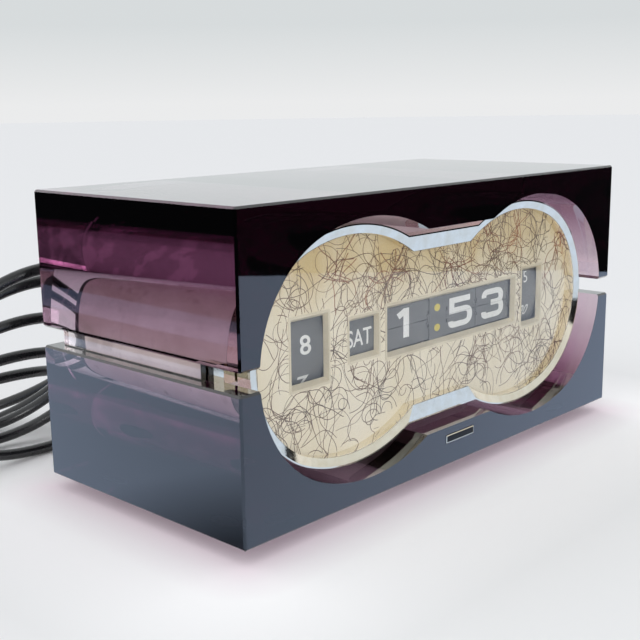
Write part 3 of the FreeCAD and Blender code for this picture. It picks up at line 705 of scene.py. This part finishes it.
def make_drum_words():
    hours = []
    for step in range(12):
        hour = (8 - step - 1) % 12 + 1
        wide = {1: 1.2, 11: 4.4}.get(hour, 5.0 if hour < 10 else 8.0)
        hours.append(letters(str(hour), 6.3, wide, weight=0.012))
    drum_words("alarm_numbers", hours, 4.6, 30, -63.5, "alarm")
    drum_words("alarm_ticks", [bar(2.2, 0.7)] * 24, 1.1, 15, -71.4, "alarm")
    days = []
    for word in ("SAT", "SUN", "MON", "TUE", "WED", "THU", "FRI"):
        days.append(letters(word, 5.9, 12.4, weight=0.008))
    drum_words("day_names", days, 0, 360 / 7, -37.6, "day")
    seconds = []
    for step in range(12):
        word = f"{(15 + 5 * step) % 60:02d}"
        seconds.append(letters(word, 4.4, 6.0, lean=0.25, weight=-0.004))
    drum_words("seconds_numbers", seconds, 15.6, 30, 63.9, "seconds")


make_drum_words()


def make_dots():
    """The colon's two dots: slightly domed ovals that stand in the strip between the figures."""
    middle, front, wide, tall = 5.4, -34.9, 1.7, 1.35
    sink, edge, dome = 0.2, 0.05, 0.08
    around = 28

    def build(bm):
        for z in (58.6, 51.2):
            ring = []
            for up in (-sink, edge):
                loop = []
                for i in range(around):
                    angle = 2 * math.pi * i / around
                    x, height = middle + wide * math.cos(angle), z + tall * math.sin(angle)
                    loop.append(bm.verts.new((x * MM, (front - up) * MM, height * MM)))
                ring.append(loop)
            crown = bm.verts.new((middle * MM, (front - dome) * MM, z * MM))
            base = bm.verts.new((middle * MM, (front + sink) * MM, z * MM))
            for i in range(around):
                j = (i + 1) % around
                bm.faces.new((ring[0][i], ring[0][j], ring[1][j], ring[1][i]))
                bm.faces.new((ring[1][i], ring[1][j], crown))
                bm.faces.new((ring[0][j], ring[0][i], base))
    new_mesh("colon_dots", build, "yellow_dots", "case")


make_dots()


# ---------------------------------------------------------------- printed threads on the face

# The face's outline about its middle: an arc over each lobe and a rounder arc at each end.
LOBE = {"centre": 48, "radius": 65.2, "drop": 22.7, "end_centre": 56.3, "end_radius": 41}
# Each window's low X, high X, low Z and high Z about the face's middle.
WINDOWS = {
    "alarm": (-72.2, -55.1, -11.1, 11.7),
    "day": (-45, -30, -6.8, 7.6),
    "time": (-25.7, 53, -9, 9),
    "seconds": (58, 72, -12, 11.5),
}
FACE_INSET = 6.0
FACE_WAIST = 28.4
WINDOW_MARGIN = 0.9
# A spot that is off the face, to end a line's last run.
OFF_FACE = (999, 999)


def on_face(x, z):
    """True where the face shows: inside the ring and outside the window frames."""
    across = abs(x)
    if abs(z) > FACE_WAIST and across < 30:
        return False
    if across > LOBE["end_centre"] - 8:
        if math.hypot(across - LOBE["end_centre"], z) > LOBE["end_radius"] - FACE_INSET:
            slope = (across - LOBE["end_centre"]) * LOBE["drop"]
            if abs(z) * (LOBE["end_centre"] - LOBE["centre"]) < slope or across > 75:
                return False
    if math.hypot(across - LOBE["centre"], abs(z) + LOBE["drop"]) > LOBE["radius"] - FACE_INSET:
        if abs(z) > FACE_WAIST or across > LOBE["centre"]:
            return False
    for x0, x1, z0, z1 in WINDOWS.values():
        beside = x0 - WINDOW_MARGIN < x < x1 + WINDOW_MARGIN
        if beside and z0 - WINDOW_MARGIN < z < z1 + WINDOW_MARGIN:
            return False
    return True


def walk(dice, start, heading, length, curl, wander):
    """A curly line: its curvature drifts at random."""
    x, z = start
    bend = dice.gauss(0, curl)
    step = 0.7
    line = []
    for _ in range(int(length / step)):
        line.append((x, z))
        bend = 0.93 * bend + dice.gauss(0, wander)
        heading += bend * step
        x += step * math.cos(heading)
        z += step * math.sin(heading)
    return line


def thread_object(name, lines, width, look):
    """Printed lines as thin tubes, cut where they leave the face."""
    curve = bpy.data.curves.new(name, "CURVE")
    curve.dimensions = "3D"
    curve.bevel_depth = width / 2 * MM
    curve.bevel_resolution = 0
    curve.resolution_u = 1
    curve.use_fill_caps = True
    for line in lines:
        run = []
        for x, z in line + [OFF_FACE]:
            if on_face(x, z):
                run.append((x * MM, FACE_Y * MM, (AXIS_Z + z) * MM, 1))
                continue
            if len(run) > 3:
                spline = curve.splines.new("POLY")
                spline.points.add(len(run) - 1)
                for point, place in zip(spline.points, run):
                    point.co = place
            run = []
    item = bpy.data.objects.new(name, curve)
    bpy.context.collection.objects.link(item)
    curve.materials.append(LOOKS[look])
    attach(item, "case")
    return item


# Where the lines crowd, as (x, z) about the face's middle: red-brown spots, then brown ones.
RED_CLUSTERS = [(-22, 20), (-52, 22), (10, 19), (34, 27), (54, 24), (82, 18)]
BROWN_CLUSTERS = [(-38, -17), (-74, -20), (24, -20), (66, -24)]


def make_threads():
    dice = random.Random(7)
    loose, fine = [], []
    for k in range(360):
        start = (dice.uniform(-90, 90), dice.uniform(-38, 38))
        heading = dice.choice((math.pi / 2, math.pi / 2, 0.4)) + dice.gauss(0, 0.6)
        line = walk(dice, start, heading, dice.uniform(16, 60), 0.08, 0.05)
        (loose if k % 2 else fine).append(line)
    for _ in range(120):
        start = (dice.uniform(-90, 90), dice.uniform(-40, 40))
        loose.append(walk(dice, start, dice.uniform(0, 6.28), dice.uniform(14, 40), 0.2, 0.08))
    red = []
    for clusters, count, lines in ((RED_CLUSTERS, 13, red), (BROWN_CLUSTERS, 7, loose)):
        for x, z in clusters:
            for _ in range(count):
                spot = (x + dice.gauss(0, 2.0), z + dice.gauss(0, 1.6))
                line = walk(dice, spot, dice.uniform(0, 6.28), dice.uniform(6, 24), 0.09, 0.05)
                lines.append(line)
    thread_object("face_threads", loose, 0.25, "brown_threads")
    thread_object("face_threads_fine", fine, 0.17, "brown_threads")
    thread_object("face_threads_red", red, 0.3, "red_threads")


make_threads()


# ---------------------------------------------------------------- plaque

def make_plaque():
    """A bright raised rim round the plaque."""
    def build(bm):
        half_x, low, high = 8.2, 13.5, 16.3
        rim = 0.28
        outer, inner = [], []
        corners = (
            (-half_x, low, 1, 1), (half_x, low, -1, 1), (half_x, high, -1, -1),
            (-half_x, high, 1, -1),
        )
        for x, z, sx, sz in corners:
            outer.append((x, z))
            inner.append((x + sx * rim, z + sz * rim))
        loops = []
        for points, y in ((outer, -49.9), (outer, -50.12), (inner, -50.2), (inner, -49.9)):
            loops.append([bm.verts.new((x * MM, y * MM, z * MM)) for x, z in points])
        for a, b in zip(loops, loops[1:] + loops[:1]):
            for i in range(4):
                j = (i + 1) % 4
                bm.faces.new((a[i], a[j], b[j], b[i]))
    new_mesh("plaque_rim", build, "chrome", "case")


make_plaque()


# ---------------------------------------------------------------- plug

def make_plug():
    """A moulded plug: it swells from the lead, with grip ribs, and ends in a flat face."""
    low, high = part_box("plug_body")
    middle_y, middle_z = (low.y + high.y) / 2, (low.z + high.z) / 2
    # along the plug: share of its length, half width, half height, squareness
    rings = [(0.0, 2.9, 2.4, 2.2), (0.12, 3.6, 3.0, 2.2)]
    rings += [(0.2, 5.2, 3.9, 2.4), (0.3, 8.2, 5.4, 2.8)]
    for k in range(5):
        at = 0.36 + 0.09 * k
        rings += [(at, 8.9, 6.0, 3.2), (at + 0.03, 8.3, 5.5, 3.2), (at + 0.05, 8.3, 5.5, 3.2)]
    rings += [(0.84, 9.6, 6.3, 3.6), (0.97, 9.8, 6.4, 3.8), (1.0, 9.3, 6.0, 3.8)]

    def build(bm):
        loops = []
        around = 40
        for share, wide, tall, square in rings:
            loop = []
            for i in range(around):
                angle = 2 * math.pi * i / around
                c, s = math.cos(angle), math.sin(angle)
                y = wide * math.copysign(abs(c) ** (2 / square), c)
                z = tall * math.copysign(abs(s) ** (2 / square), s)
                x = low.x + (high.x - low.x) * share
                loop.append(bm.verts.new((x, middle_y + y * MM, middle_z + z * MM)))
            loops.append(loop)
        for a, b in zip(loops, loops[1:]):
            for i in range(around):
                j = (i + 1) % around
                bm.faces.new((a[i], a[j], b[j], b[i]))
        bm.faces.new(loops[0])
        bm.faces.new(loops[-1])

    plug = new_mesh("moulded_plug", build, "black_plug", "case")
    for face in plug.data.polygons:
        face.use_smooth = len(face.vertices) == 4
    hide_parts("plug_body")
    return plug


make_plug()
lead = make_cord()
paint(lead, LOOKS["black_cord"])


# ---------------------------------------------------------------- floor, world and lights

HALF_BASE = (0.105, 0.05, 0)
CARD_HEIGHT = 0.002
NEAR_CORNER = (-0.105, -0.045, 0)


def make_floor():
    """A pale table with painted light: a faint pink glow right at the clock's base, where light
    through the acrylic falls, a bright band round it, and a slow fade further out.
    """
    mesh = bpy.data.meshes.new("floor")
    bm = bmesh.new()
    bmesh.ops.create_circle(bm, cap_ends=True, segments=96, radius=8)
    bm.to_mesh(mesh)
    bm.free()
    floor = bpy.data.objects.new("floor", mesh)
    bpy.context.collection.objects.link(floor)
    look = Look("pale_table").set(Roughness=1.0, Specular_IOR_Level=0.0)
    # distance out from the clock's base, in metres
    node = look.coords.outputs["Object"]
    for operation, value in (
        ("ABSOLUTE", None), ("SUBTRACT", HALF_BASE), ("MAXIMUM", (0, 0, 0)), ("LENGTH", None),
    ):
        step = look.nodes.new("ShaderNodeVectorMath")
        step.operation = operation
        look.link(node, step.inputs[0])
        if value:
            step.inputs[1].default_value = value
        node = step.outputs["Value" if operation == "LENGTH" else "Vector"]
    away = look.levels(node, 0, 1, 0, 0.5)
    # painted light: pink glow at the base, brightest just round it, dimmer further out
    look.colour(
        away,
        [
            (0.0, srgb(246, 234, 240)), (0.02, srgb(251, 247, 249)), (0.04, srgb(254, 254, 254)),
            (0.12, srgb(231, 232, 232)), (0.5, srgb(226, 227, 228)),
        ],
    )
    mesh.materials.append(look.material)


def make_card(name, colour, near, corners):
    """A studio card that only shows in reflections, near times as bright at the near corner."""
    mesh = bpy.data.meshes.new(name)
    mesh.from_pydata([(x, y, CARD_HEIGHT) for x, y in corners], [], [tuple(range(len(corners)))])
    card = bpy.data.objects.new(name, mesh)
    bpy.context.collection.objects.link(card)
    material = bpy.data.materials.new(name)
    material.use_nodes = True
    nodes = material.node_tree.nodes
    nodes.remove(nodes["Principled BSDF"])
    glow = nodes.new("ShaderNodeEmission")
    glow.inputs["Color"].default_value = colour
    coords = nodes.new("ShaderNodeTexCoord")
    reach = nodes.new("ShaderNodeVectorMath")
    reach.operation = "DISTANCE"
    reach.inputs[1].default_value = NEAR_CORNER
    fade = nodes.new("ShaderNodeMapRange")
    fade.inputs["From Min"].default_value = 0.012
    fade.inputs["From Max"].default_value = 0.075
    fade.inputs["To Min"].default_value = near
    links = material.node_tree.links
    links.new(coords.outputs["Object"], reach.inputs[0])
    links.new(reach.outputs["Value"], fade.inputs["Value"])
    links.new(fade.outputs["Result"], glow.inputs["Strength"])
    links.new(glow.outputs["Emission"], nodes["Material Output"].inputs["Surface"])
    mesh.materials.append(material)
    card.visible_camera = False
    card.visible_diffuse = False
    card.visible_transmission = False
    card.visible_volume_scatter = False
    card.visible_shadow = False


def make_world():
    """What the camera and reflections see fades upward; the light that it gives is even."""
    world = bpy.data.worlds.new("studio")
    bpy.context.scene.world = world
    world.use_nodes = True
    nodes, links = world.node_tree.nodes, world.node_tree.links
    coords = nodes.new("ShaderNodeTexCoord")
    parts = nodes.new("ShaderNodeSeparateXYZ")
    ramp = nodes.new("ShaderNodeValToRGB")
    ramp.color_ramp.elements[0].position = 0.0
    ramp.color_ramp.elements[0].color = (0.83, 0.835, 0.84, 1)
    ramp.color_ramp.elements[1].position = 0.07
    ramp.color_ramp.elements[1].color = (0.68, 0.71, 0.72, 1)
    links.new(coords.outputs["Generated"], parts.inputs["Vector"])
    links.new(parts.outputs["Z"], ramp.inputs["Fac"])
    links.new(ramp.outputs["Color"], nodes["Background"].inputs["Color"])
    room = nodes.new("ShaderNodeBackground")
    room.inputs["Color"].default_value = (0.92, 0.93, 0.95, 1)
    ray = nodes.new("ShaderNodeLightPath")
    mix = nodes.new("ShaderNodeMixShader")
    seen = nodes.new("ShaderNodeMath")
    seen.operation = "MAXIMUM"
    links.new(ray.outputs["Is Camera Ray"], seen.inputs[0])
    links.new(ray.outputs["Is Glossy Ray"], seen.inputs[1])
    links.new(seen.outputs["Value"], mix.inputs["Fac"])
    links.new(room.outputs["Background"], mix.inputs[1])
    links.new(nodes["Background"].outputs["Background"], mix.inputs[2])
    links.new(mix.outputs["Shader"], nodes["World Output"].inputs["Surface"])


def make_lights():
    sun = bpy.data.lights.new("key", "SUN")
    sun.energy = 0.5
    sun.angle = math.radians(110)
    item = bpy.data.objects.new("key", sun)
    item.rotation_euler = Euler((math.radians(-28), math.radians(-30), 0))
    bpy.context.collection.objects.link(item)
    lamp = bpy.data.lights.new("front_box", "AREA")
    lamp.shape = "SQUARE"
    lamp.size = 0.7
    lamp.energy = 8
    item = bpy.data.objects.new("front_box", lamp)
    item.location = (-0.75, -1.5, 0.32)
    aim = Vector((0, 0, 0.05)) - Vector((-0.75, -1.5, 0.32))
    item.rotation_euler = aim.to_track_quat("-Z", "Y").to_euler()
    bpy.context.collection.objects.link(item)


make_floor()
make_world()
make_lights()
bpy.context.scene.view_settings.view_transform = "Standard"
# What the polished faces mirror: a cool bright strip of table near the clock, dark beyond it.
# Each card: its colour, its share of that at the clock's near corner, and its outline.
BRIGHT, SLATE, DARK = (0.62, 0.76, 1.02, 1), (0.20, 0.23, 0.38, 1), (0.01, 0.01, 0.012, 1)
CARDS = {
    "front_near": (BRIGHT, 1, [(-0.235, -0.052), (-0.235, -0.939), (0.581, -0.052)]),
    "front_far": (
        DARK, 1,
        [(0.581, -0.052), (-0.235, -0.939), (-0.235, -2.5), (2.5, -2.5), (2.5, -0.052)],
    ),
    "left_near": (
        BRIGHT, 0.2, [(-0.235, -0.065), (-0.107, -0.065), (-0.107, 1.0), (-0.235, 1.0)]
    ),
    "left_edge": (DARK, 1, [(-0.285, -2.5), (-0.235, -2.5), (-0.235, 1.5), (-0.285, 1.5)]),
    "left_strip": (SLATE, 1, [(-0.33, -2.5), (-0.285, -2.5), (-0.285, 1.5), (-0.33, 1.5)]),
    "left_far": (DARK, 1, [(-2.5, -2.5), (-0.33, -2.5), (-0.33, 1.5), (-2.5, 1.5)]),
}
for name, card in CARDS.items():
    make_card(name, *card)
